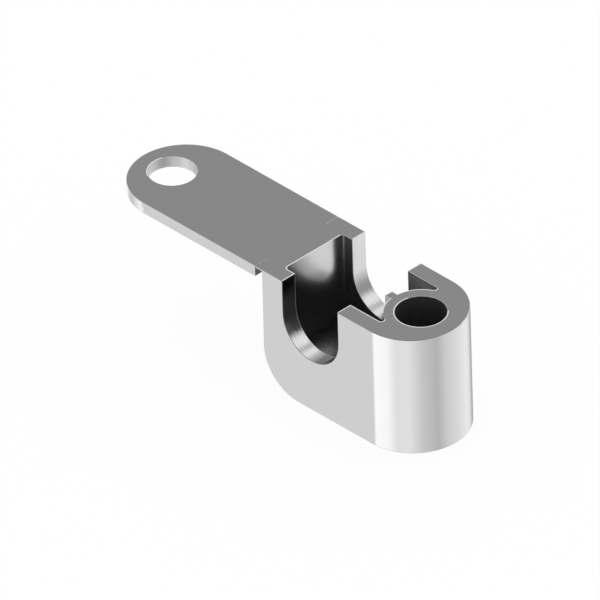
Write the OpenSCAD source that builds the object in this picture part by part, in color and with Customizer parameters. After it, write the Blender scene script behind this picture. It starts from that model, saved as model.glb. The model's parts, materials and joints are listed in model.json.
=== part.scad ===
// Fold-over pipe block clamp, made in one piece. A hollow block holds one tube in a U saddle
// and carries a bored boss for the fixing screw. A flat strap hangs on the block by a thin web:
// it folds over the tube and its hole lands on the screw hole.
// The origin is on the screw axis at the base face, with the strap pointing to -X.

/* [Tube saddle] */
// Diameter of the tube that lies in the saddle, level with the top face
tube_d = 10; // [6:0.5:14]
// Height from the base to the underside of the tube
under_tube = 7.7; // [5:0.1:14]

/* [Screw boss] */
// Clearance hole for the fixing screw in the block
screw_hole_d = 6.8; // [4.5:0.1:8]
// Wall of the boss round the screw hole
boss_wall = 1.55; // [1.2:0.05:3]
// Open gap between the boss and the side of the tube
boss_gap = 2.65; // [1.5:0.05:6]
// Gap left between the boss and each side wall where they come closest
lobe_gap = 0.2; // [0.1:0.05:1]
// Radius that closes the narrow end of each lobe beside the boss
lobe_fillet = 0.4; // [0.2:0.05:0.8]
// Thickness of the small rib on the tube side of the boss
rib_t = 1.3; // [0.6:0.1:2]
// How far the rib stands out from the boss
rib_reach = 0.95; // [0.4:0.05:1.2]

/* [Block] */
// Thickness of the two side walls
side_wall = 2.35; // [1.2:0.05:4]
// Thickness of the end wall on the strap side
end_wall = 1.85; // [1:0.05:2.5]
// Thickness of the pocket's floor
floor_t = 1.6; // [1:0.1:3]
// Length of the shoulder between the tube and the strap end of the block
shoulder = 3.65; // [3:0.05:8]
// Distance from the screw axis to the tip of the round end
end_reach = 5.8; // [5.2:0.1:12]
// Outer radius of the lower corner on the strap side
corner_r = 6; // [2:0.5:8]
// Radius of the upright corners in the pocket
pocket_fillet = 0.5; // [0.2:0.1:1]

/* [Strap] */
// Thickness of the strap
strap_t = 1.6; // [1:0.1:3]
// Hole in the strap, a closer fit on the screw than the hole in the block
strap_hole_d = 6.4; // [4.5:0.1:8]
// Distance from the centre of the strap hole to the tip of the strap
strap_tip = 5.2; // [4.8:0.1:12]
// Width of the notch under the fold
fold_notch = 1.25; // [0.8:0.05:2.5]
// Thickness of the web that bends when the strap folds over
web_t = 0.2; // [0.15:0.05:0.6]
// Length of the relief slit at each end of the fold line
slit_len = 2.05; // [0.5:0.05:3]
// Width of the relief slits
slit_w = 0.1; // [0.05:0.05:0.3]

/* [Hidden] */
$fn = 96;
// Extra length that takes a cut cleanly through a face
through = 1;
tube_r = tube_d / 2;
screw_r = screw_hole_d / 2;
boss_r = screw_r + boss_wall;
block_h = under_tube + tube_d;
pocket_half_w = boss_r + lobe_gap;
half_w = pocket_half_w + side_wall;
tube_x = -(boss_r + boss_gap + tube_r);
tube_z = block_h - tube_r;
block_left = tube_x - tube_r - shoulder;
pocket_left = block_left + end_wall;
end_centre_x = end_reach - half_w;
fold_x = block_left - fold_notch;
// The strap hole is the screw hole mirrored in the fold line
strap_hole_x = 2 * fold_x;
strap_end_x = strap_hole_x - strap_tip + half_w;
// A lobe's closing arc touches the side wall and the boss, so it spans at least half the gap between them
lobe_r = max(lobe_fillet, 0.6 * lobe_gap);
// The arc bites this little into both, so that their faces cross cleanly
lobe_bite = 0.02;
lobe_y = pocket_half_w - lobe_r;
lobe_x = -sqrt(pow(boss_r + lobe_r, 2) - pow(lobe_y, 2));
inner_corner_r = max(corner_r - end_wall, pocket_fillet);

// Flat outline with one corner at the origin rounded, spreading to +X and +Y
module round_corner_panel(length, height, radius) {
    translate([radius, 0]) square([length - radius, height]);
    translate([0, radius]) square([length, height - radius]);
    translate([radius, radius]) circle(r = radius);
}

// Stands an X-Y outline up in the X-Z plane, centred across the block
module across(width) {
    rotate([90, 0, 0]) linear_extrude(width, center = true) children();
}

// Plan of the block: straight sides and one round end over the screw
module block_plan() {
    translate([block_left, -half_w]) square([end_centre_x - block_left, 2 * half_w]);
    translate([end_centre_x, 0]) circle(r = half_w);
}

// Block with its plan upright and the lower corner under the strap rounded
module block_form() {
    reach = end_reach - block_left;
    intersection() {
        linear_extrude(block_h) block_plan();
        translate([block_left, 0, 0])
            across(2 * half_w + 2 * through) round_corner_panel(reach + through, block_h + through, corner_r);
    }
}

// One side of the pocket's box, from the end wall to the screw axis, with its upright corner rounded
module pocket_half_box() {
    translate([pocket_left, 0]) square([-pocket_left, pocket_half_w - pocket_fillet]);
    translate([pocket_left + pocket_fillet, 0]) square([-pocket_left - pocket_fillet, pocket_half_w]);
    translate([pocket_left + pocket_fillet, pocket_half_w - pocket_fillet]) circle(r = pocket_fillet);
}

// Metal that closes the narrow gap beside the boss, hollowed by the lobe's round end
module lobe_plug() {
    past_wall = pocket_half_w + through;
    difference() {
        polygon([[0, 0], [lobe_x, lobe_y], [lobe_x, past_wall], [through, past_wall], [through, 0]]);
        translate([lobe_x, lobe_y]) circle(r = lobe_r + lobe_bite);
    }
}

// Plan of the pocket on one side of the middle plane
module pocket_half_plan() {
    difference() {
        pocket_half_box();
        circle(r = boss_r);
        lobe_plug();
        translate([-boss_r - rib_reach, -rib_t / 2]) square([boss_r + rib_reach, rib_t]);
    }
}

// Hollow of the block: the plan sunk to the floor, with the end wall and floor blended by an arc
module pocket() {
    depth = block_h - floor_t + through;
    translate([0, 0, floor_t]) intersection() {
        linear_extrude(depth) {
            pocket_half_plan();
            mirror([0, 1]) pocket_half_plan();
        }
        translate([pocket_left, 0, 0])
            across(2 * half_w) round_corner_panel(-pocket_left + through, depth, inner_corner_r);
    }
}

// U saddle through both side walls: a half round under the tube, open straight up
module saddle() {
    across(2 * half_w + 2 * through) {
        translate([tube_x, tube_z]) circle(r = tube_r);
        translate([tube_x - tube_r, tube_z]) square([tube_d, tube_r + through]);
    }
}

// Strap with its round end, and the thin web that runs from inside it into the block's end wall
module strap() {
    web_root = end_wall / 2;
    translate([0, 0, block_h - strap_t]) linear_extrude(strap_t) {
        translate([strap_end_x, -half_w]) square([fold_x - strap_end_x, 2 * half_w]);
        translate([strap_end_x, 0]) circle(r = half_w);
    }
    translate([fold_x - web_root, -half_w, block_h - web_t])
        cube([fold_notch + 2 * web_root, 2 * half_w, web_t]);
}

// Relief slits at both ends of the fold line
module fold_slits() {
    for (side = [-1, 1])
        translate([fold_x, side * half_w - slit_len, block_h - web_t - through])
            cube([slit_w, 2 * slit_len, web_t + 2 * through]);
}

// Upright hole for the screw
module screw_hole(x, radius) {
    translate([x, 0, -through]) cylinder(r = radius, h = block_h + 2 * through);
}

module block_clamp() {
    color("silver") difference() {
        union() {
            block_form();
            strap();
        }
        pocket();
        saddle();
        fold_slits();
        screw_hole(0, screw_r);
        screw_hole(strap_hole_x, strap_hole_d / 2);
    }
}

block_clamp();
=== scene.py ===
# %% [markdown]
# A fold-over pipe block clamp in bare aluminium
#
# A tube lies in the U saddle of a small hollow block, the flat strap folds over it on a thin
# web, and one screw goes through the strap and the block. The solid of the clamp comes packed
# from CAD as a fixed frame. This lesson gives it the looks: rounded edges with pale and grey
# strips that paint the light they would catch, a satin metal, milled saddles, a pocket and holes
# darkened with painted shade, a pale table and the soft light of a small studio.

# %% Load the imported solid
import json
import math

import bmesh
import bpy
import numpy as np
from mathutils import Matrix, Vector


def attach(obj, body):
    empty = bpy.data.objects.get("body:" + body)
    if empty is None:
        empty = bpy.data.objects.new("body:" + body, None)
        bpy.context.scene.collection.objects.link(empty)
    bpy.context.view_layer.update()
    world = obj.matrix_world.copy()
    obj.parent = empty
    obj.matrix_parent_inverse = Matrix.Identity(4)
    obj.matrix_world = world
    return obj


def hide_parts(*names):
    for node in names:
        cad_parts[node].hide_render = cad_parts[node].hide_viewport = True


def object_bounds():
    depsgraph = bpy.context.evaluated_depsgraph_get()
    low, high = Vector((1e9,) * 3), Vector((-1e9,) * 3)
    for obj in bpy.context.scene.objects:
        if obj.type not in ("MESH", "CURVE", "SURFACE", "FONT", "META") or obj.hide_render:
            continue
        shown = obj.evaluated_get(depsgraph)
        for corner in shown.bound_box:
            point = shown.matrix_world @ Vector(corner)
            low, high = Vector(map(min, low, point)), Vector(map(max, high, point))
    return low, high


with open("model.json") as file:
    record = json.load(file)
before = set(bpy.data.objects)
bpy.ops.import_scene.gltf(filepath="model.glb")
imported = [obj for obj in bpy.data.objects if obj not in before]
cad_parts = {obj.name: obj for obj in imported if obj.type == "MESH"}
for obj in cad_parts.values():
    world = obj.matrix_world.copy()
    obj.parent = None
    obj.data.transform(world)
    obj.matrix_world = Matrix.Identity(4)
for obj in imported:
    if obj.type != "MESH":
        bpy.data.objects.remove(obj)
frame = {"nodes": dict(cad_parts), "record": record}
cad_box = [list(corner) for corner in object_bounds()]
cad_clamp = frame["nodes"]["block_clamp"]
print("CAD box in metres:", cad_box)

# %% [markdown]
# The record that comes with the solid names its mounts: the screw hole, the hole in the strap
# and the saddle. The places below are worked out from them, from the box and from the solid's
# own corners, so the looks follow the solid when it is packed again in another size. Places that
# are less than a thousandth of a millimetre apart count as one.

# %% Read the main places from the frame
MM = 0.001
WELD = 0.001 * MM

mounts = {mount["name"]: mount for mount in frame["record"]["mounts"]}
top_z = cad_box[1][2]
half_width = cad_box[1][1]
screw_r = mounts["screw_hole"]["dims"]["r_mm"] * MM
tube_r = mounts["tube_saddle"]["dims"]["r_mm"] * MM
tube_x, _, tube_z = mounts["tube_saddle"]["pos_m"]
strap_hole_x = mounts["strap_hole"]["pos_m"][0]
strap_hole_r = mounts["strap_hole"]["dims"]["r_mm"] * MM
strap_t = mounts["strap_hole"]["dims"]["length_mm"] * MM
fold_x = strap_hole_x / 2
end_centre_x = cad_box[1][0] - half_width
print(f"top face at {top_z / MM:.2f} mm, fold line at x = {fold_x / MM:.2f} mm")

# %% [markdown]
# No mount tells where the block ends or how wide its pocket is, but the solid's corners do. Below
# the strap the corner furthest to the left lies on the block, and the corners between that wall and
# the saddle, away from the outer sides, lie on the pocket. A mesh hands out such values fastest as
# one long list, which numpy then cuts into rows.

# %% Measure the block and its pocket
SIDE_SKIN = 0.5 * MM


def read_values(items, name, kind, width=1):
    """A value that each vertex, corner or face of a mesh has, as one array with a row for each."""
    values = np.empty(len(items) * width, kind)
    items.foreach_get(name, values)
    return values.reshape(-1, width) if width > 1 else values


corners = read_values(cad_clamp.data.vertices, "co", np.float32, 3).astype(float)
below_strap = corners[:, 2] < top_z - 2 * strap_t
block_left = corners[below_strap, 0].min()
off_sides = np.abs(corners[:, 1]) < half_width - SIDE_SKIN
beside_saddle = (corners[:, 0] > block_left + WELD) & (corners[:, 0] < tube_x - tube_r)
pocket_left = corners[off_sides & beside_saddle, 0].min()
pocket_half_width = np.abs(corners[off_sides & beside_saddle, 1]).max()
print(f"pocket from x = {pocket_left / MM:.2f} mm, half width {pocket_half_width / MM:.2f} mm")

# %% [markdown]
# The clamp is seen from above its round end at three quarters, and drawn in parallel: equal
# lengths look equal near and far. So the camera is orthographic. Its three axes follow from how
# far it is turned round the object, raised and rolled.

# %% Set up the camera
PHOTO_PX = 600
PX_PER_MM = 7.84
AZIMUTH, ELEVATION, ROLL = (math.radians(angle) for angle in (46.04, 35.33, -1.5))
VIEW_CENTRE = Vector((-13.01 * MM, -8.83 * MM, top_z))
CAMERA_DISTANCE = 300 * MM
CLIP_NEAR, CLIP_FAR = 0.01, 10

level_back = Vector((math.sin(AZIMUTH), -math.cos(AZIMUTH), 0))
back = level_back * math.cos(ELEVATION) + Vector((0, 0, math.sin(ELEVATION)))
right = Matrix.Rotation(ROLL, 3, back) @ Vector((math.cos(AZIMUTH), math.sin(AZIMUTH), 0))
turned = Matrix((right, back.cross(right), back)).transposed().to_4x4()

camera_data = bpy.data.cameras.new("camera")
camera_data.type = "ORTHO"
camera_data.ortho_scale = PHOTO_PX / PX_PER_MM * MM
camera_data.clip_start, camera_data.clip_end = CLIP_NEAR, CLIP_FAR
camera = bpy.data.objects.new("camera", camera_data)
camera.matrix_world = Matrix.Translation(VIEW_CENTRE + back * CAMERA_DISTANCE) @ turned
bpy.context.scene.collection.objects.link(camera)
bpy.context.scene.camera = camera
print(f"the view is {camera_data.ortho_scale / MM:.1f} mm wide")

# %% [markdown]
# The solid already has every face in its place. The visible piece could be modelled anew, but a
# copy of the solid can't differ from it. A CAD mesh is loose triangles: the copy merges the corners
# that lie at one place and joins the triangles of each flat face, because a Bevel needs whole faces
# and true edges to work on.

# %% Copy the solid's faces
FLAT = math.radians(0.2)


def welded_copy(source, name):
    """A mesh with the source's triangles, where corners at the same place become one vertex:
    each corner is rounded to the weld distance and equal rows share a number."""
    points = read_values(source.vertices, "co", np.float32, 3)
    triangles = read_values(source.loops, "vertex_index", np.int32)
    cells = np.round(points.astype(float) / WELD).astype(np.int64)
    _, first, number = np.unique(cells, axis=0, return_index=True, return_inverse=True)
    mesh = bpy.data.meshes.new(name)
    mesh.from_pydata(points[first], [], number.reshape(-1)[triangles].reshape(-1, 3))
    return mesh


clamp_mesh = welded_copy(cad_clamp.data, "clamp_body")
edit_mesh = bmesh.new()
edit_mesh.from_mesh(clamp_mesh)
bmesh.ops.dissolve_limit(edit_mesh, angle_limit=FLAT, verts=edit_mesh.verts, edges=edit_mesh.edges)
print(f"{len(edit_mesh.verts)} vertices and {len(edit_mesh.faces)} faces")

# %% [markdown]
# The slits at both ends of the fold are cut into the web. Their walls get the matt grey of the
# outer edges, while the notch below gets the dark pocket metal, whose darkness is painted shade.
# One wall of each slit lies in one plane with the end of the strap, and joining the flat faces has
# made them one face. A cut at the height of the web's underside parts them again, so that each can
# have its own finish. The faces are found by their place and by their normal, nearly all of which
# points along X.

# %% Part the slits from the notch
ALONG_AXIS = 0.99

fold_faces = [face for face in edit_mesh.faces
              if abs(face.normal.x) > ALONG_AXIS and abs(face.calc_center_median().x - fold_x) < WELD]
fold_edges = {edge for face in fold_faces for edge in face.edges}
fold_corners = {corner for face in fold_faces for corner in face.verts}
web_z = max(corner.co.z for corner in fold_corners if corner.co.z < top_z - WELD)
bmesh.ops.bisect_plane(edit_mesh, geom=[*fold_faces, *fold_edges, *fold_corners], dist=WELD,
                       plane_co=(0, 0, web_z), plane_no=(0, 0, 1))
print(f"the web is {(top_z - web_z) / MM:.2f} mm thick")

# %% [markdown]
# Where the bore, the pocket and the saddles open into the top face, a pale matt line a seventh of
# a millimetre wide runs along the rim, like an edge scraped free of its burr. Its pale colour is a
# painted highlight: it stands for the light that a tiny rounding of the edge would catch. Strokes
# to the back over the block, and to the right over the strap's hole, choose the rims: the line goes
# on the edges that a stroke runs off and not on those that face it. Two limits on the cosine
# between the stroke and an edge's wall say how far round it still goes, and a wall is a face that
# looks sideways, with less than half of its normal pointing up. An inset of the top face draws the
# line: the narrow faces between the old outline and the new one get their own material.

# %% Draw the painted highlight lines on the rims
RIM = 0.15 * MM
SIDEWAYS = 0.5
HIGHLIGHT_SIDE = Vector((-0.26, 0.97, 0))
HIGHLIGHT_LIMIT = -0.5
HOLE_HIGHLIGHT_SIDE = Vector((0.94, 0.34, 0))
HOLE_HIGHLIGHT_LIMIT = 0.77

top = [face for face in edit_mesh.faces if face.calc_center_median().z > top_z - WELD]
inner_top = set(top)
bmesh.ops.inset_region(edit_mesh, faces=top, thickness=RIM, use_even_offset=True)
for face in edit_mesh.faces:
    centre = face.calc_center_median()
    if centre.z < top_z - WELD or face in inner_top:
        continue
    walls = [wall.normal for edge in face.edges for wall in edge.link_faces if wall.normal.z < SIDEWAYS]
    from_axis = math.hypot(max(centre.x - end_centre_x, 0), centre.y)
    in_block = centre.x > block_left and from_axis < half_width - RIM
    at_strap_hole = math.hypot(centre.x - strap_hole_x, centre.y) < strap_hole_r + RIM
    block_highlight = in_block and any(wall.dot(HIGHLIGHT_SIDE) > HIGHLIGHT_LIMIT for wall in walls)
    hole_highlight = at_strap_hole and any(wall.dot(HOLE_HIGHLIGHT_SIDE) > HOLE_HIGHLIGHT_LIMIT for wall in walls)
    # These rims get the pale line, a painted highlight.
    face.material_index = int(block_highlight or hole_highlight)
highlight_rim_count = sum(face.material_index for face in edit_mesh.faces)
edit_mesh.to_mesh(clamp_mesh)
edit_mesh.free()
print(f"{highlight_rim_count} narrow faces along the rims")

# %% [markdown]
# A real clamp has no knife edges either: tumbling breaks each one by a few hundredths of a
# millimetre. To choose edges, the lesson looks at the two faces that meet in each. A mesh lists the
# corners of its faces one after the other, and a closed mesh uses each edge twice, so sorting the
# corners by their edge puts the two uses side by side.

# %% Look at both faces of each edge


def edge_faces(mesh):
    """For each edge, its two faces' normals, the way it runs in the first one, and its middle.
    The corners of all faces are sorted by edge, so that each edge has two rows next to each other."""
    edge = read_values(mesh.loops, "edge_index", np.int32)
    start = read_values(mesh.loops, "vertex_index", np.int32)
    sizes = read_values(mesh.polygons, "loop_total", np.int32)
    normals = read_values(mesh.polygons, "normal", np.float32, 3)
    points = read_values(mesh.vertices, "co", np.float32, 3)
    face = np.repeat(np.arange(len(sizes)), sizes)
    firsts = np.cumsum(sizes) - sizes
    following = np.arange(len(edge)) + 1
    following[firsts + sizes - 1] = firsts
    one, other = np.argsort(edge, kind="stable").reshape(-1, 2).T
    begin, end = points[start[one]], points[start[following[one]]]
    return normals[face[one]], normals[face[other]], end - begin, (begin + end) / 2


first_normal, second_normal, run, middle = edge_faces(clamp_mesh)
wall_normal = np.where(first_normal[:, 2:] > SIDEWAYS, second_normal, first_normal)
print(f"{len(middle)} edges between two faces")

# %% [markdown]
# An edge is sharp where its two normals are far apart, and it stands out where its second face
# falls away from the first one. The inner corners of the pocket don't stand out and stay as they
# are, and so do the lower edges of the thin web at the fold, which is too thin to lose anything.

# %% Find the edges that stand out
SHARP = math.radians(25)
FOLD_ZONE = 0.3 * MM

turn = np.arccos(np.clip((first_normal * second_normal).sum(1), -1, 1))
stands_out = (second_normal * np.cross(first_normal, run)).sum(1) < 0
at_top = middle[:, 2] > top_z - WELD
at_fold = (middle[:, 0] > fold_x - FOLD_ZONE) & (middle[:, 0] < block_left + FOLD_ZONE)
web_edge = at_fold & ~at_top & (middle[:, 2] > top_z - strap_t + WELD)
convex = (turn > SHARP) & stands_out & ~web_edge
print(f"{int(convex.sum())} sharp edges stand out")

# %% [markdown]
# The outer edges are rounded wider, and their strips will get a grey that paints a reflection. On
# the top face's outline they are widest at the front right of the round end, and narrower where the
# wall turns away from there. The other outer edges, below and round the saddles, get a little of
# it all along. Two helpers tell where the outline is and how wide a top edge is rounded, because
# the finishes will ask the same later.

# %% Choose how wide the outer edges are rounded
LOW_WEAR = 0.3
LEAST_WEAR = 0.02
WEAR_POWER = 6
# The grey strips of painted reflection are widest where the wall faces this angle.
GREY_STRIP_ANGLE = math.radians(-47)
GREY_STRIP_SIDE = (math.cos(GREY_STRIP_ANGLE), math.sin(GREY_STRIP_ANGLE))


def at_outline(places):
    """True for places near the outer walls: their distance from the line that joins the centres
    of the two round ends is the half width, but for the width of a rim."""
    strap_end_x = cad_box[0][0] + half_width
    from_line = places[:, 0] - np.clip(places[:, 0], strap_end_x, end_centre_x)
    return np.hypot(from_line, places[:, 1]) > half_width - RIM


def top_outline_share(places, walls):
    """How wide the top edge is rounded at some places on the block, from 0 to 1, which also tells where
    it gets the grey strip: the cosine of the angle between the wall and the grey strip's side, to a
    high power, and 0 where that is very small."""
    level = walls[:, :2] / np.maximum(np.hypot(walls[:, 0], walls[:, 1]), WELD)[:, None]
    wear = np.maximum(level @ GREY_STRIP_SIDE, 0) ** WEAR_POWER
    return wear * (at_outline(places) & (places[:, 0] > block_left) & (wear > LEAST_WEAR))


outer = at_outline(middle)
worn_share = np.where(at_top, top_outline_share(middle, wall_normal), LOW_WEAR * outer) * convex
print(f"{np.count_nonzero(worn_share)} edges are worn")

# %% [markdown]
# All other edges are broken by the tumbling. The top face was ground afterwards, which took most of
# that away again, a little less at the slits in the fold and nothing at the right of the strap's
# hole. Towards the back and the right, where the grinding ran off the outline, the edges are wider.
# The back is at +Y, and a slope says how fast an edge gains as its wall turns there. The right of
# the picture is halfway between +X and +Y, where the product of a level normal's two parts is at its
# most, a half.

# %% Choose how far the other edges are broken
EDGE_BREAK = 0.06 * MM
TOP_SHARE = 0.35
SLIT_SHARE = 0.4
BACK_SHARE = 0.8
BACK_SLOPE = 1.5
RIGHT_SHARE = 0.7
HOLE_RIGHT_LIMIT = -0.4

at_slit = at_fold & (np.abs(run[:, 1]) > np.abs(run[:, 0]))
at_strap_rim = np.hypot(middle[:, 0] - strap_hole_x, middle[:, 1]) < strap_hole_r + RIM
looks_back = np.clip(BACK_SLOPE * wall_normal[:, 1], 0, 1) * outer
looks_right = 2 * np.maximum(wall_normal[:, :2], 0).prod(1) * outer
top_share = np.where(at_slit, SLIT_SHARE, TOP_SHARE + (BACK_SHARE - TOP_SHARE) * looks_back)
top_share += RIGHT_SHARE * looks_right
top_share[at_strap_rim & (wall_normal[:, :2].max(1) < HOLE_RIGHT_LIMIT)] = 1.0
broken_share = np.where(at_top, top_share, 1.0) * (convex & (worn_share == 0))
widest_break = broken_share.max() * EDGE_BREAK
print(f"{np.count_nonzero(broken_share)} edges are broken, up to {widest_break / MM:.2f} mm")

# %% [markdown]
# The width of each rounded edge is kept on the edge, under a name of its own, as a share of the
# greatest wear. Sharp edges that aren't rounded are marked, so that smooth shading stops at them.

# %% Keep the widths on the edges
WEAR = 0.19 * MM

width = np.maximum(worn_share * WEAR, broken_share * EDGE_BREAK)
weights = clamp_mesh.attributes.new("rounding", "FLOAT", "EDGE")
weights.data.foreach_set("value", (width / WEAR).astype(np.float32))
stays_sharp = (turn > SHARP) & ~convex
creases = clamp_mesh.attributes.new("sharp_edge", "BOOLEAN", "EDGE")
creases.data.foreach_set("value", stays_sharp)
print(f"{np.count_nonzero(width)} edges to round, {int(stays_sharp.sum())} stay sharp")

# %% [markdown]
# A Bevel modifier rounds all chosen edges at once by their numbers, so that strips of different
# widths meet cleanly in the corners. It is applied, because the finishes are chosen face by face
# and the new strips need one too. The Bevel gives each strip a finish by its number, which needs a
# place for it on the mesh, still empty here: number 1 will be the pale scraped finish, whose colour
# paints a highlight along each strip.

# %% Round the edges
# Number 1 is the pale finish of painted highlight, number 2 the grey finish of painted reflection.
SATIN, PALE_HIGHLIGHT, GREY_REFLECTION = range(3)

while len(clamp_mesh.materials) <= GREY_REFLECTION:
    clamp_mesh.materials.append(None)
clamp = bpy.data.objects.new("clamp_body", clamp_mesh)
bpy.context.scene.collection.objects.link(clamp)
rounding = clamp.modifiers.new("rounding", "BEVEL")
rounding.limit_method = "WEIGHT"
rounding.edge_weight = "rounding"
rounding.width = WEAR
rounding.segments = 3
rounding.use_clamp_overlap = False
rounding.material = PALE_HIGHLIGHT
rounded = clamp.evaluated_get(bpy.context.evaluated_depsgraph_get())
clamp_mesh = bpy.data.meshes.new_from_object(rounded)
clamp.modifiers.clear()
clamp.data = clamp_mesh
print(f"{len(clamp_mesh.polygons)} faces with the rounded edges")

# %% [markdown]
# A strip where an outer edge is rounded wider gets the grey finish of painted reflection instead.
# The rims have the pale number too, but they lie flat in the top face, so a strip is told from them
# by its slant.

# %% Tell the grey strips from the pale ones
DEAD_FLAT = 0.9999

centres = read_values(clamp_mesh.polygons, "center", np.float32, 3)
normals = read_values(clamp_mesh.polygons, "normal", np.float32, 3)
finish_of = read_values(clamp_mesh.polygons, "material_index", np.int32)
strip = (finish_of == PALE_HIGHLIGHT) & (normals[:, 2] < DEAD_FLAT)
near_top = centres[:, 2] > top_z - WEAR
grey_reflection_strip = np.where(near_top, top_outline_share(centres, normals) > 0, at_outline(centres))
# These strips get the grey of painted reflection.
finish_of[strip & grey_reflection_strip] = GREY_REFLECTION
print(f"{int(strip.sum())} faces in strips, {int((strip & grey_reflection_strip).sum())} of them worn")

# %% [markdown]
# A smooth shaded face takes its light from its corners, and at the end of a flat face a corner
# shares its normal with a round one. The large flat faces are shaded flat instead, so that they
# mirror evenly up to their edges. They are the ones that lie in a plane of the block or the strap
# and face straight along an axis. A Weighted Normal modifier keeps the narrow strips from bending
# the light on the other wide faces.

# %% Shade the flat faces flat
flat = np.zeros(len(centres), bool)
planes = ((block_left, fold_x), (-half_width, half_width), (0, top_z - strap_t, top_z))
for axis, positions in enumerate(planes):
    for position in positions:
        flat |= (np.abs(centres[:, axis] - position) < WELD) & (np.abs(normals[:, axis]) > DEAD_FLAT)
clamp_mesh.polygons.foreach_set("use_smooth", ~flat)
shading = clamp.modifiers.new("flat_faces_stay_flat", "WEIGHTED_NORMAL")
shading.keep_sharp = True
shading.weight = 100
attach(clamp, "root")
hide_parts("block_clamp")
print(f"{int(flat.sum())} of {len(flat)} faces are shaded flat")

# %% [markdown]
# Materials are small graphs of nodes. One helper turns a colour from its sRGB hex value to
# linear light, one adds a node, sets it and links it, and one starts a material.

# %% Helpers for materials


def linear(hex_colour):
    """Linear RGBA of an sRGB hex colour: the sRGB curve is undone on each channel."""
    channels = np.array([int(hex_colour[i:i + 2], 16) for i in (1, 3, 5)]) / 255
    light = np.where(channels <= 0.04045, channels / 12.92, ((channels + 0.055) / 1.055) ** 2.4)
    return (*light, 1.0)


def add_node(tree, kind, inputs=None, **settings):
    """Adds a shader node, with settings for its properties and values or links for its sockets."""
    node = tree.nodes.new("ShaderNode" + kind)
    for name, value in settings.items():
        setattr(node, name, value)
    for socket, value in (inputs or {}).items():
        if isinstance(value, bpy.types.NodeSocket):
            tree.links.new(value, node.inputs[socket])
        else:
            node.inputs[socket].default_value = value
    return node


def new_material(name):
    """An empty material, its tree and its output node."""
    material = bpy.data.materials.new(name)
    material.use_nodes = True
    material.node_tree.nodes.clear()
    return material, material.node_tree, add_node(material.node_tree, "OutputMaterial")


print("an sRGB mid grey is", [round(x, 3) for x in linear("#808080")], "in linear light")

# %% [markdown]
# The clamp is bare aluminium with a fine satin finish, from blasting with very fine beads. Metal
# has no colour of its own to show but how much it reflects: here about six tenths of the light.
# The bead marks are a few hundredths of a millimetre across, too fine to show, so they are drawn
# a tenth of a millimetre wide, as a faint change of roughness: a soft mirror, slightly alive.

# %% Satin aluminium
ALUMINIUM = "#CECECE"
BEAD_MARK = 0.12 * MM


def bead_blasted(name, least_rough, most_rough):
    """Bare aluminium whose roughness goes up and down with the bead marks."""
    material, tree, output = new_material(name)
    place = add_node(tree, "TexCoord")
    marks = add_node(tree, "TexNoise", {"Vector": place.outputs["Object"], "Scale": 1 / BEAD_MARK})
    roughness = add_node(tree, "MapRange", {
        "Value": marks.outputs[0], "To Min": least_rough, "To Max": most_rough})
    metal = add_node(tree, "BsdfPrincipled", {
        "Base Color": linear(ALUMINIUM), "Metallic": 1.0, "Roughness": roughness.outputs[0]})
    tree.links.new(metal.outputs[0], output.inputs["Surface"])
    return material


satin = bead_blasted("satin aluminium", least_rough=0.04, most_rough=0.08)
print("finish:", satin.name)

# %% [markdown]
# The rims and the rounded strips get a pale matt finish with no mirror, like scraped and tumbled
# edges, whose scratches run every way and scatter the light evenly. Its pale colour is a painted
# highlight: it stands for the bright line that a small rounded edge catches, at the same grey from
# any side. Its scratches change the grey from place to place. A noise seldom leaves the middle of
# its range, so the two greys are set to where most of it lies.

# %% Scraped edges, a painted highlight
SCRATCH = 0.3 * MM
NOISE_LOW, NOISE_HIGH = 0.3, 0.7


def between_greys(noise, dark, light):
    """What a Map Range node needs to turn the middle of a noise into greys from dark to light."""
    return {"Value": noise.outputs[0], "From Min": NOISE_LOW, "From Max": NOISE_HIGH,
            "To Min": linear(dark)[0], "To Max": linear(light)[0]}


def mottled(name, mark, dark, light, metallic, roughness):
    """Aluminium whose grey changes softly from place to place, in marks of one size."""
    material, tree, output = new_material(name)
    place = add_node(tree, "TexCoord")
    marks = add_node(tree, "TexNoise", {"Vector": place.outputs["Object"], "Scale": 1 / mark})
    grey = add_node(tree, "MapRange", between_greys(marks, dark, light))
    metal = add_node(tree, "BsdfPrincipled", {
        "Base Color": grey.outputs[0], "Metallic": metallic, "Roughness": roughness})
    tree.links.new(metal.outputs[0], output.inputs["Surface"])
    return material


# The pale greys paint the highlight of the edges.
scraped_highlight = mottled("scraped edge with painted highlight", SCRATCH, "#D4D4D4", "#EAEAEA", metallic=0.0, roughness=0.7)
print("finish:", scraped_highlight.name)

# %% [markdown]
# The strips on the outline and the slits' walls are dull too, but grey. On the front right of the
# top outline this grey is a painted reflection: it stands for the grey walls that a small rounded
# edge mirrors there. Along the other outer edges and in the slits it draws thin grey lines. They
# are made as the pale edges are, with darker greys.

# %% Grey outline, a painted reflection
grey_reflection_edge = mottled("grey edge with painted reflection", SCRATCH, "#848484", "#8E8E8E", metallic=0.0, roughness=0.7)
print("finish:", grey_reflection_edge.name)

# %% [markdown]
# The saddles are milled along their round, and the cutter leaves fine streaks side by side. Each
# streak is tilted a little differently, so a mirrored shape ends sooner in one streak than in the
# next and its edge looks feathered. A noise that changes only along the tube gives each streak its
# own tilt, which is added to the normal, and its own grey. Below, where the tube presses, a thin
# dull film has formed, so the metal there mirrors a little less than at the top.

# %% Milled saddles
STREAK = 0.12 * MM
TILT = 0.35
FILM_TOP = tube_z + 1.5 * MM
BRIGHT_FROM = tube_z + 3.5 * MM
FILM_METALLIC = 0.95

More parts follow.
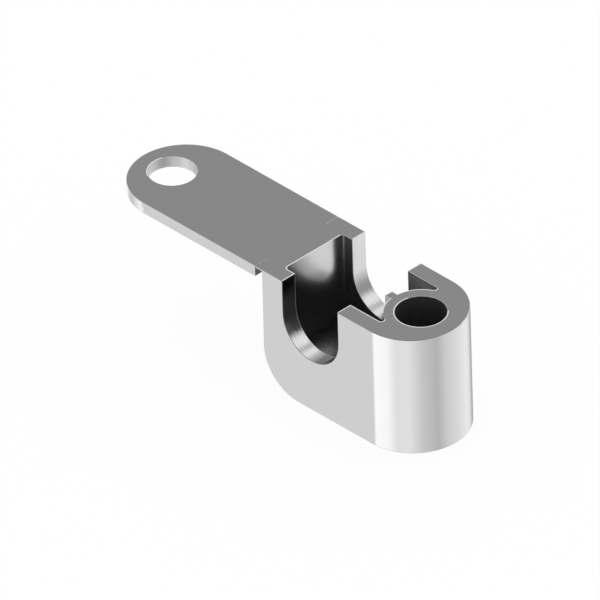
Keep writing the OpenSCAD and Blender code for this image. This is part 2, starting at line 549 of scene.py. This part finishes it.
milled, tree, output = new_material("milled aluminium")
place = add_node(tree, "SeparateXYZ", {0: add_node(tree, "TexCoord").outputs["Object"]})
along = add_node(tree, "Math", {0: place.outputs["Y"], 1: 1 / STREAK}, operation="MULTIPLY")
streaks = add_node(tree, "TexNoise", {"W": along.outputs[0], "Scale": 1.0}, noise_dimensions="1D")
tilt = add_node(tree, "VectorMath", {
    0: streaks.outputs["Color"], 1: (TILT, 0, TILT), 2: (-TILT / 2, 0, -TILT / 2)},
    operation="MULTIPLY_ADD")
geometry = add_node(tree, "NewGeometry")
leaning = add_node(tree, "VectorMath", {0: tilt.outputs[0], 1: geometry.outputs["Normal"]})
relief = add_node(tree, "VectorMath", {0: leaning.outputs[0]}, operation="NORMALIZE")
grey = add_node(tree, "MapRange", between_greys(streaks, "#CECECE", "#DADADA"))
bright = add_node(tree, "MapRange", {
    "Value": place.outputs["Z"], "From Min": FILM_TOP, "From Max": BRIGHT_FROM,
    "To Min": FILM_METALLIC, "To Max": 1.0})
metal = add_node(tree, "BsdfPrincipled", {
    "Base Color": grey.outputs[0], "Metallic": bright.outputs[0], "Roughness": 0.12,
    "Normal": relief.outputs[0]})
tree.links.new(metal.outputs[0], output.inputs["Surface"])
print("finish:", milled.name)

# %% [markdown]
# The inside of the pocket is duller than the outside, with a soft grain half a millimetre wide.
# Its grey is darker too, and that darkness is painted shade for the shade deep in the pocket, so
# the pocket swallows most of the light.

# %% Pocket metal with painted shade
GRAIN = 0.5 * MM

# The dark greys are painted shade, for the pocket and the notch.
pocket_painted_shade = mottled("pocket metal with painted shade", GRAIN, "#828282", "#969696", metallic=1.0, roughness=0.36)
print("finish:", pocket_painted_shade.name)

# %% [markdown]
# The end wall of the pocket and the boss face the open saddles, and the bead blast reached them
# there. They are rougher than the outside, so what they mirror fades softly with distance.

# %% Blasted end wall and boss
blasted = bead_blasted("blasted aluminium", least_rough=0.18, most_rough=0.24)
print("finish:", blasted.name)

# %% [markdown]
# A drill leaves rings on the walls of its hole, as wide as its feed per turn. They could be cut as
# grooves, but at this size only their light and shade show, so that light and shade is painted: a
# noise that changes only along Z draws fine bands of lighter and darker metal round the hole. Both
# greys are darker than the outside metal, as painted shade inside the holes.

# %% Drilled holes with painted shade
FEED = 0.15 * MM

drilled_painted_shade, tree, output = new_material("drilled aluminium with painted shade")
place = add_node(tree, "SeparateXYZ", {0: add_node(tree, "TexCoord").outputs["Object"]})
depth = add_node(tree, "Math", {0: place.outputs["Z"], 1: 1 / FEED}, operation="MULTIPLY")
rings = add_node(tree, "TexNoise", {"W": depth.outputs[0], "Scale": 1.0}, noise_dimensions="1D")
# Both greys, darker than the outside metal, are painted shade; their bands paint the rings.
grey = add_node(tree, "MapRange", between_greys(rings, "#B0B0B0", "#CCCCCC"))
metal = add_node(tree, "BsdfPrincipled", {
    "Base Color": grey.outputs[0], "Metallic": 1.0, "Roughness": 0.33})
tree.links.new(metal.outputs[0], output.inputs["Surface"])
print("finish:", drilled_painted_shade.name)

# %% [markdown]
# Each face gets its finish by where it lies and how it faces: whole arrays of face centres and
# normals are compared with the places from the frame. The middle of a wide face round a hole lies
# in the hole, so a place alone isn't enough, and the way the face looks is asked as well: the round
# lower corner outside looks down, so it isn't taken for the pocket, and the boss looks straight out
# from the screw.

# %% Find where each face lies
UNDERSIDE = -0.01
OUTWARD = 0.95

x, y, z = centres.T
facing_x, facing_y, facing_z = normals.T
from_screw = np.hypot(x, y)
from_strap_hole = np.hypot(x - strap_hole_x, y)

below_top = (z < top_z - WELD) & (z > WELD)
in_side_wall = (np.abs(y) > pocket_half_width + WELD) & (np.abs(facing_y) < SIDEWAYS)
in_slot = (np.abs(x - tube_x) < tube_r + WELD) & (z > tube_z - tube_r - WELD)
in_saddle = below_top & in_side_wall & in_slot
between_walls = (np.abs(y) < pocket_half_width + WELD) & (x > pocket_left - WELD) & (x < 0)
in_pocket = below_top & between_walls & (facing_z > UNDERSIDE)
in_notch = below_top & (x > fold_x - WELD) & (x < block_left + WELD) & (z > top_z - strap_t)
in_slit = in_notch & (z > web_z + WELD)
on_end_wall = in_pocket & (facing_x > ALONG_AXIS) & (x < tube_x - tube_r)
on_rib_side = in_pocket & (np.abs(facing_y) > ALONG_AXIS) & (np.abs(y) < screw_r)
faces_outward = x * facing_x + y * facing_y > OUTWARD * from_screw
on_boss = in_pocket & faces_outward & (from_screw < pocket_half_width)
near_hole = (from_screw < screw_r + WELD) | (from_strap_hole < strap_hole_r + WELD)
in_hole = near_hole & (np.abs(facing_z) < SIDEWAYS)
print(f"{int(in_saddle.sum())} saddle faces, {int(in_pocket.sum())} in the pocket")

# %% [markdown]
# A mesh keeps a list of materials and each face a number in that list. The first three are the
# satin metal and the two edge finishes, whose numbers the rims and the strips already have. The
# faces that are still satin get theirs group by group, and a later group takes over the faces
# that it shares with an earlier one. The sides of the small rib get the pale edge finish too, whose
# colour paints them light as a painted highlight.

# %% Give each face its finish
finishes = [satin, scraped_highlight, grey_reflection_edge, milled, pocket_painted_shade, blasted, drilled_painted_shade]
clamp_mesh.materials.clear()
for finish in finishes:
    clamp_mesh.materials.append(finish)
edge_finish = finish_of != SATIN
for faces, finish in ((in_saddle, milled), (in_pocket | in_notch, pocket_painted_shade), (on_end_wall | on_boss, blasted),
                      (on_rib_side, scraped_highlight), (in_slit, grey_reflection_edge), (in_hole, drilled_painted_shade)):
    finish_of[faces & ~edge_finish] = finishes.index(finish)
clamp_mesh.polygons.foreach_set("material_index", finish_of)
for finish, faces in zip(finishes, np.bincount(finish_of, minlength=len(finishes))):
    print(f"{finish.name}: {faces} faces")

# %% [markdown]
# The table is a plain pale sheet, a hair below the clamp's base so that the two don't flicker.

# %% Lay the table
TABLE_SIZE = 4.0
TABLE_GAP = 0.02 * MM

table_mesh = bpy.data.meshes.new("table")
sheet_corners = np.array([(-1, -1, 0), (1, -1, 0), (1, 1, 0), (-1, 1, 0)]) * TABLE_SIZE / 2
table_mesh.from_pydata(sheet_corners - (0, 0, TABLE_GAP), [], [(0, 1, 2, 3)])
table = bpy.data.objects.new("table", table_mesh)
bpy.context.scene.collection.objects.link(table)
print(f"a table {TABLE_SIZE} m wide, {TABLE_GAP / MM:.2f} mm under the base")

# %% [markdown]
# The sheet is white to the camera, and keeps a faint soft shadow under the clamp. Metal mirrors the
# cards of the studio past the table's edge, so the sheet lets mirrored rays through, apart from the
# spot under the screw hole, where no light gets in. It is clear from below, to look at the base.

# %% White paper
WHITE = "#FFFFFF"
SHADOW_SHARE = 0.07
SHADED_SPOT = 1.2 * screw_r

paper, tree, output = new_material("white paper")
rays = add_node(tree, "LightPath")
mirrored = add_node(tree, "Math", {
    0: rays.outputs["Is Glossy Ray"], 1: rays.outputs["Is Transmission Ray"]})
place = add_node(tree, "TexCoord")
off_screw = add_node(tree, "VectorMath", {0: place.outputs["Object"]}, operation="LENGTH")
open_table = add_node(tree, "Math", {0: off_screw.outputs["Value"], 1: SHADED_SPOT},
                      operation="GREATER_THAN")
passed = add_node(tree, "Math", {0: mirrored.outputs[0], 1: open_table.outputs[0]}, operation="MULTIPLY")
side = add_node(tree, "NewGeometry")
unseen = add_node(tree, "Math", {0: passed.outputs[0], 1: side.outputs["Backfacing"]}, operation="MAXIMUM")
glow = add_node(tree, "Emission", {"Color": linear(WHITE), "Strength": rays.outputs["Is Camera Ray"]})
lit = add_node(tree, "BsdfDiffuse", {"Color": linear(WHITE)})
sheet = add_node(tree, "MixShader", {0: SHADOW_SHARE, 1: glow.outputs[0], 2: lit.outputs[0]})
clear = add_node(tree, "BsdfTransparent")
surface = add_node(tree, "MixShader", {0: unseen.outputs[0], 1: sheet.outputs[0], 2: clear.outputs[0]})
tree.links.new(surface.outputs[0], output.inputs["Surface"])
table_mesh.materials.append(paper)
print("table of", paper.name)

# %% [markdown]
# What a metal looks like is what stands around it. The studio has a ring of pale and grey cards
# low round the table, plain grey walls, and a bright panel under the ceiling with a seam in the
# middle. It could be built from lamps and cards, but mirrored rays alone have to see it, so it is
# painted in the World by the direction of the ray. The first part is the ring: a colour ramp runs
# once round the horizon. A card is a stretch of the ramp, given by the degrees round from +X and the
# brightness at its two ends. Where two cards stand apart, the ramp runs evenly from one to the next.

# %% Set up the ring of cards
CARDS = {
    "left": ((-180, 0.79), (-168, 0.95)),
    "front left": ((-147, 1.38), (-142, 1.38)),
    "grey, for the flat front": ((-139, 0.99), (-129, 0.99)),
    "front": ((-127, 1.55), (-98, 1.5)),
    "front right": ((-78, 1.18), (-54, 1.2)),
    "grey, right": ((-26, 0.88), (4, 0.72)),
    "back right": ((24, 0.96), (80, 1.24)),
    "back": ((94, 1.16), (112, 0.6)),
    "dark, for the pocket": ((124, 0.46), (136, 0.42)),
    "back left": ((150, 1.2), (164, 1.0))}

stops = [stop for card in CARDS.values() for stop in card]
stops.append((180, stops[0][1]))
print(f"{len(CARDS)} cards, the brightest at {max(level for _, level in stops)}")

# %% [markdown]
# The World is given the direction of each ray. From it comes the angle round the table, which picks
# the place on the ramp. A ramp holds at most white, so its levels are stored against a peak and
# multiplied back. The cards are brightest low down, and under the clamp they darken again towards
# the table. A height here is the upward part of the direction: 0 is level and -1 straight down.

# %% Paint the ring by the angle of the ray
PEAK = 2.0
BRIGHTEST_AT = -0.5
HORIZON_SHARE = 0.55
DARK_UNDER, DARK_END = -0.8, -0.62
DARK_SHARE = 0.5

world = bpy.data.worlds.new("studio")
bpy.context.scene.world = world
world.use_nodes = True
tree = world.node_tree
tree.nodes.clear()
output = add_node(tree, "OutputWorld")
direction = add_node(tree, "SeparateXYZ", {0: add_node(tree, "TexCoord").outputs["Generated"]})
to_right, to_back, height = direction.outputs
angle = add_node(tree, "Math", {0: to_back, 1: to_right}, operation="ARCTAN2")
share = add_node(tree, "MapRange", {"Value": angle.outputs[0], "From Min": -math.pi, "From Max": math.pi})
ramp = add_node(tree, "ValToRGB", {0: share.outputs[0]})
while len(ramp.color_ramp.elements) < len(stops):
    ramp.color_ramp.elements.new(0.5)
for element, (degrees, level) in zip(ramp.color_ramp.elements, stops):
    element.position = degrees / 360 + 0.5
    element.color = (level / PEAK, level / PEAK, level / PEAK, 1)
fading = add_node(tree, "MapRange", {
    "Value": height, "From Min": BRIGHTEST_AT, "From Max": 0.0,
    "To Min": PEAK, "To Max": HORIZON_SHARE * PEAK})
under = add_node(tree, "MapRange", {
    "Value": height, "From Min": DARK_UNDER, "From Max": DARK_END, "To Min": DARK_SHARE, "To Max": 1.0})
shaded = add_node(tree, "Math", {0: fading.outputs[0], 1: under.outputs[0]}, operation="MULTIPLY")
ring = add_node(tree, "Math", {0: ramp.outputs[0], 1: shaded.outputs[0]}, operation="MULTIPLY")
print("a ramp of", len(stops), "stops")

# %% [markdown]
# Above the cards stand plain grey walls, which the top face mirrors as an even mid grey. A bright
# panel hangs high at the back, tilted to one side, with a dim seam where its two halves meet: it
# lights the walls that face it. Smooth steps in the ray's height and direction draw all of it, each
# from one number to another. The last node goes over from the cards to the walls about the horizon.

# %% Walls and the ceiling panel
WALL = 0.392
PANEL = 1.13
PANEL_TILT = 0.16
PANEL_FROM, PANEL_FULL = 0.52, 0.74
BACK_FROM, BACK_FULL = 0.2, 0.5
SEAM_X = 0.06
SEAM_DARK, SEAM_END = 0.02, 0.22
SEAM_SHARE = 0.55
WALL_FROM, WALL_FULL = -0.1, 0.25

tilted = add_node(tree, "Math", {0: to_right, 1: PANEL_TILT, 2: height}, operation="MULTIPLY_ADD")
high = add_node(tree, "MapRange", {
    "Value": tilted.outputs[0], "From Min": PANEL_FROM, "From Max": PANEL_FULL},
    interpolation_type="SMOOTHSTEP")
far = add_node(tree, "MapRange", {"Value": to_back, "From Min": BACK_FROM, "From Max": BACK_FULL},
               interpolation_type="SMOOTHSTEP")
covered = add_node(tree, "Math", {0: high.outputs[0], 1: far.outputs[0]}, operation="MULTIPLY")
panel = add_node(tree, "MapRange", {"Value": covered.outputs[0], "To Min": WALL, "To Max": PANEL})
off_seam = add_node(tree, "Math", {0: to_right, 1: SEAM_X}, operation="SUBTRACT")
beside_seam = add_node(tree, "Math", {0: off_seam.outputs[0]}, operation="ABSOLUTE")
seam = add_node(tree, "MapRange", {
    "Value": beside_seam.outputs[0], "From Min": SEAM_DARK, "From Max": SEAM_END,
    "To Min": SEAM_SHARE, "To Max": 1.0},
    interpolation_type="SMOOTHSTEP")
ceiling = add_node(tree, "Math", {0: panel.outputs[0], 1: seam.outputs[0]}, operation="MULTIPLY")
studio = add_node(tree, "MapRange", {
    "Value": height, "From Min": WALL_FROM, "From Max": WALL_FULL,
    "To Min": ring.outputs[0], "To Max": ceiling.outputs[0]})
print(f"walls at {WALL}, panel at {PANEL}")

# %% [markdown]
# The camera and the light that falls on the matt edges and on the table get an even white at
# strength 1, at which a colour shows as it is written. Only mirrored rays see the studio. The
# Standard view transform shows those levels unchanged.

# %% Let mirrored rays see the studio
rays = add_node(tree, "LightPath")
mirrored = add_node(tree, "Math", {
    0: rays.outputs["Is Glossy Ray"], 1: rays.outputs["Is Transmission Ray"]})
around = add_node(tree, "Background", {"Color": linear(WHITE), "Strength": studio.outputs[0]})
even = add_node(tree, "Background", {"Color": linear(WHITE), "Strength": 1.0})
whole = add_node(tree, "MixShader", {0: mirrored.outputs[0], 1: even.outputs[0], 2: around.outputs[0]})
tree.links.new(whole.outputs[0], output.inputs["Surface"])
bpy.context.scene.view_settings.view_transform = "Standard"
print("world:", world.name)
